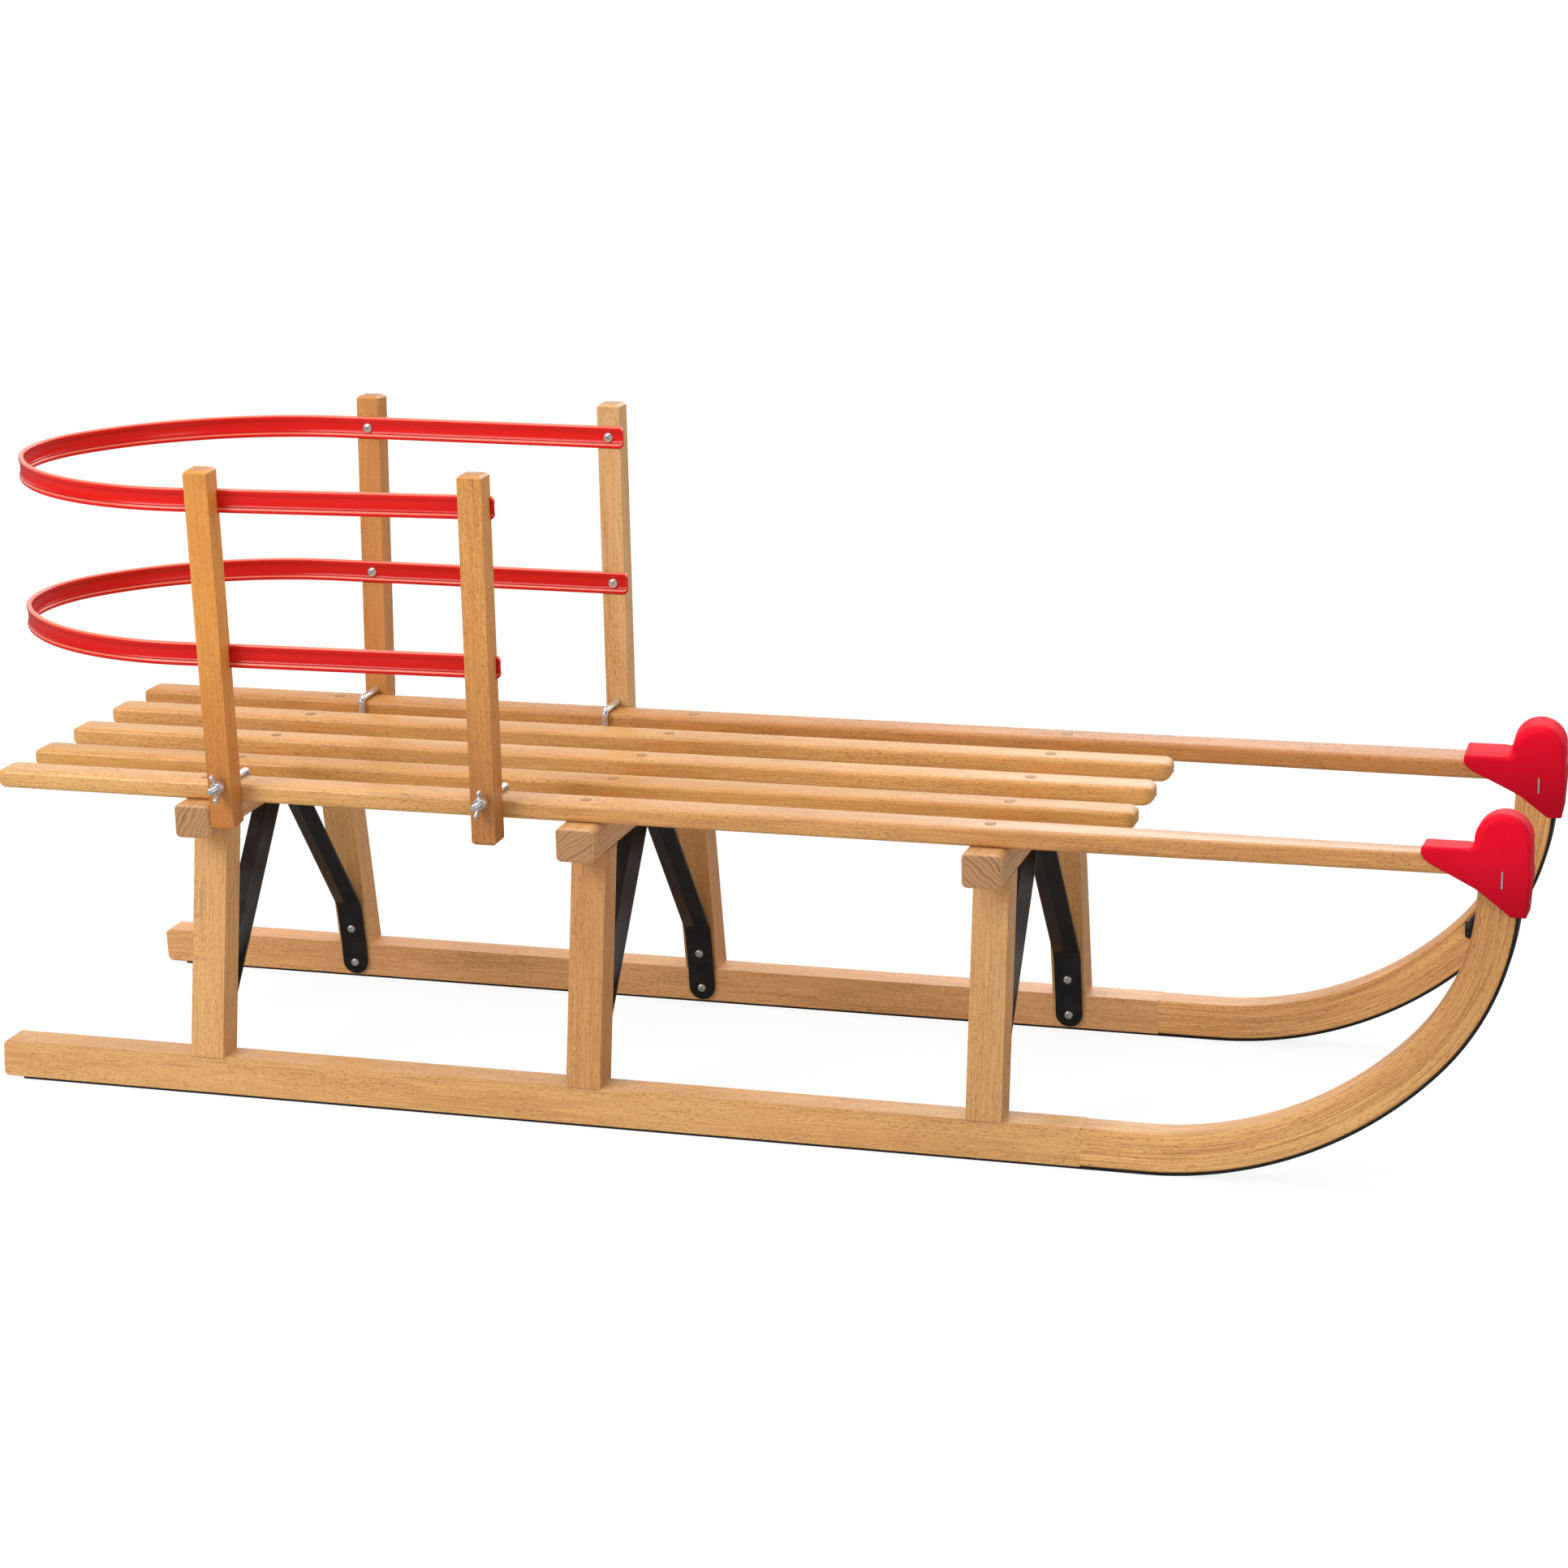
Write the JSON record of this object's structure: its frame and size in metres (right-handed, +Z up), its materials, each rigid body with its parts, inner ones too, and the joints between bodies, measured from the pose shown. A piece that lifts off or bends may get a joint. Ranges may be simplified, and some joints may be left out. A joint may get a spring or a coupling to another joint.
{
  "type": "wooden toboggan with backrest",
  "caption": "Slatted wooden toboggan on laminated upturned runners with steel strips, red nose caps and a removable clamp-on backrest of posts and hoops for a small child.",
  "frame": {"origin": "on the ground, on the centre plane, midway between the rearmost point of the hoops and the foremost point of the nose caps", "axes": "+X forward towards the nose caps, +Y to the left, +Z up"},
  "size_m": [1.121, 0.344, 0.463],
  "materials": {
    "beech": "clear satin lacquer",
    "laminated_beech": "clear satin lacquer over bent veneers",
    "beech_post": "clear satin lacquer",
    "plug_wood": "end grain under lacquer",
    "black_steel": "black powder coat",
    "zinc_steel": "bright zinc plate",
    "red_cap_plastic": "moulded fine texture",
    "red_hoop_plastic": "glossy"
  },
  "bodies": {
    "sled_frame": {"runner_rail_left": "beech", "runner_rail_right": "beech", "runner_bow_left": "laminated_beech", "runner_bow_right": "laminated_beech", "steel_strip_left": "black_steel", "steel_strip_right": "black_steel", "crossbeam_rear": "beech", "crossbeam_middle": "beech", "crossbeam_front": "beech", "leg_rear_left": "beech", "leg_rear_right": "beech", "leg_middle_left": "beech", "leg_middle_right": "beech", "leg_front_left": "beech", "leg_front_right": "beech", "brace_rear": "black_steel", "brace_middle": "black_steel", "brace_front": "black_steel", "slat_outer_right": "beech", "slat_inner_right": "beech", "slat_centre": "beech", "slat_inner_left": "beech", "slat_outer_left": "beech", "slat_screws": "zinc_steel", "slat_plugs": "plug_wood", "brace_screws": "zinc_steel", "strip_screws": "zinc_steel", "nose_cap_left": "red_cap_plastic", "nose_cap_right": "red_cap_plastic", "nose_screws": "zinc_steel", "cap_staples": "zinc_steel", "pull_bow": "black_steel", "pull_bow_screws": "zinc_steel"},
    "backrest": {"post_rear_left": "beech_post", "post_rear_right": "beech_post", "post_front_left": "beech_post", "post_front_right": "beech_post", "upper_hoop": "red_hoop_plastic", "lower_hoop": "red_hoop_plastic", "hoop_screws": "zinc_steel"},
    "hook_rear_left": {"hook_rear_left": "zinc_steel"},
    "wing_nut_rear_left": {"wing_nut_rear_left": "zinc_steel"},
    "hook_rear_right": {"hook_rear_right": "zinc_steel"},
    "wing_nut_rear_right": {"wing_nut_rear_right": "zinc_steel"},
    "hook_front_left": {"hook_front_left": "zinc_steel"},
    "wing_nut_front_left": {"wing_nut_front_left": "zinc_steel"},
    "hook_front_right": {"hook_front_right": "zinc_steel"},
    "wing_nut_front_right": {"wing_nut_front_right": "zinc_steel"}
  },
  "joints": [
    {"name": "backrest_slide", "type": "slide", "parent": "sled_frame", "child": "backrest", "axis": [1, 0, 0], "range_m": [0, 0.04]},
    {"name": "wing_nut_rear_left_turn", "type": "hinge", "parent": "backrest", "child": "wing_nut_rear_left", "pos_m": [-0.3507, 0.158, 0.2339], "axis": [0, 1, 0], "range_deg": [0, 1445]},
    {"name": "hook_rear_left_slide", "type": "slide", "parent": "backrest", "child": "hook_rear_left", "axis": [0, -1, 0], "range_m": [0, 0.0032]},
    {"name": "wing_nut_rear_right_turn", "type": "hinge", "parent": "backrest", "child": "wing_nut_rear_right", "pos_m": [-0.3507, -0.158, 0.2339], "axis": [0, -1, 0], "range_deg": [0, 1445]},
    {"name": "hook_rear_right_slide", "type": "slide", "parent": "backrest", "child": "hook_rear_right", "axis": [0, 1, 0], "range_m": [0, 0.0032]},
    {"name": "wing_nut_front_left_turn", "type": "hinge", "parent": "backrest", "child": "wing_nut_front_left", "pos_m": [-0.1524, 0.158, 0.2339], "axis": [0, 1, 0], "range_deg": [0, 1445]},
    {"name": "hook_front_left_slide", "type": "slide", "parent": "backrest", "child": "hook_front_left", "axis": [0, -1, 0], "range_m": [0, 0.0032]},
    {"name": "wing_nut_front_right_turn", "type": "hinge", "parent": "backrest", "child": "wing_nut_front_right", "pos_m": [-0.1524, -0.158, 0.2339], "axis": [0, -1, 0], "range_deg": [0, 1445]},
    {"name": "hook_front_right_slide", "type": "slide", "parent": "backrest", "child": "hook_front_right", "axis": [0, 1, 0], "range_m": [0, 0.0032]}
  ],
  "couplings": [
    {"joint": "wing_nut_rear_left_turn", "follows": "hook_rear_left_slide", "rad_per_m": 7854},
    {"joint": "wing_nut_rear_right_turn", "follows": "hook_rear_right_slide", "rad_per_m": 7854},
    {"joint": "wing_nut_front_left_turn", "follows": "hook_front_left_slide", "rad_per_m": 7854},
    {"joint": "wing_nut_front_right_turn", "follows": "hook_front_right_slide", "rad_per_m": 7854}
  ]
}
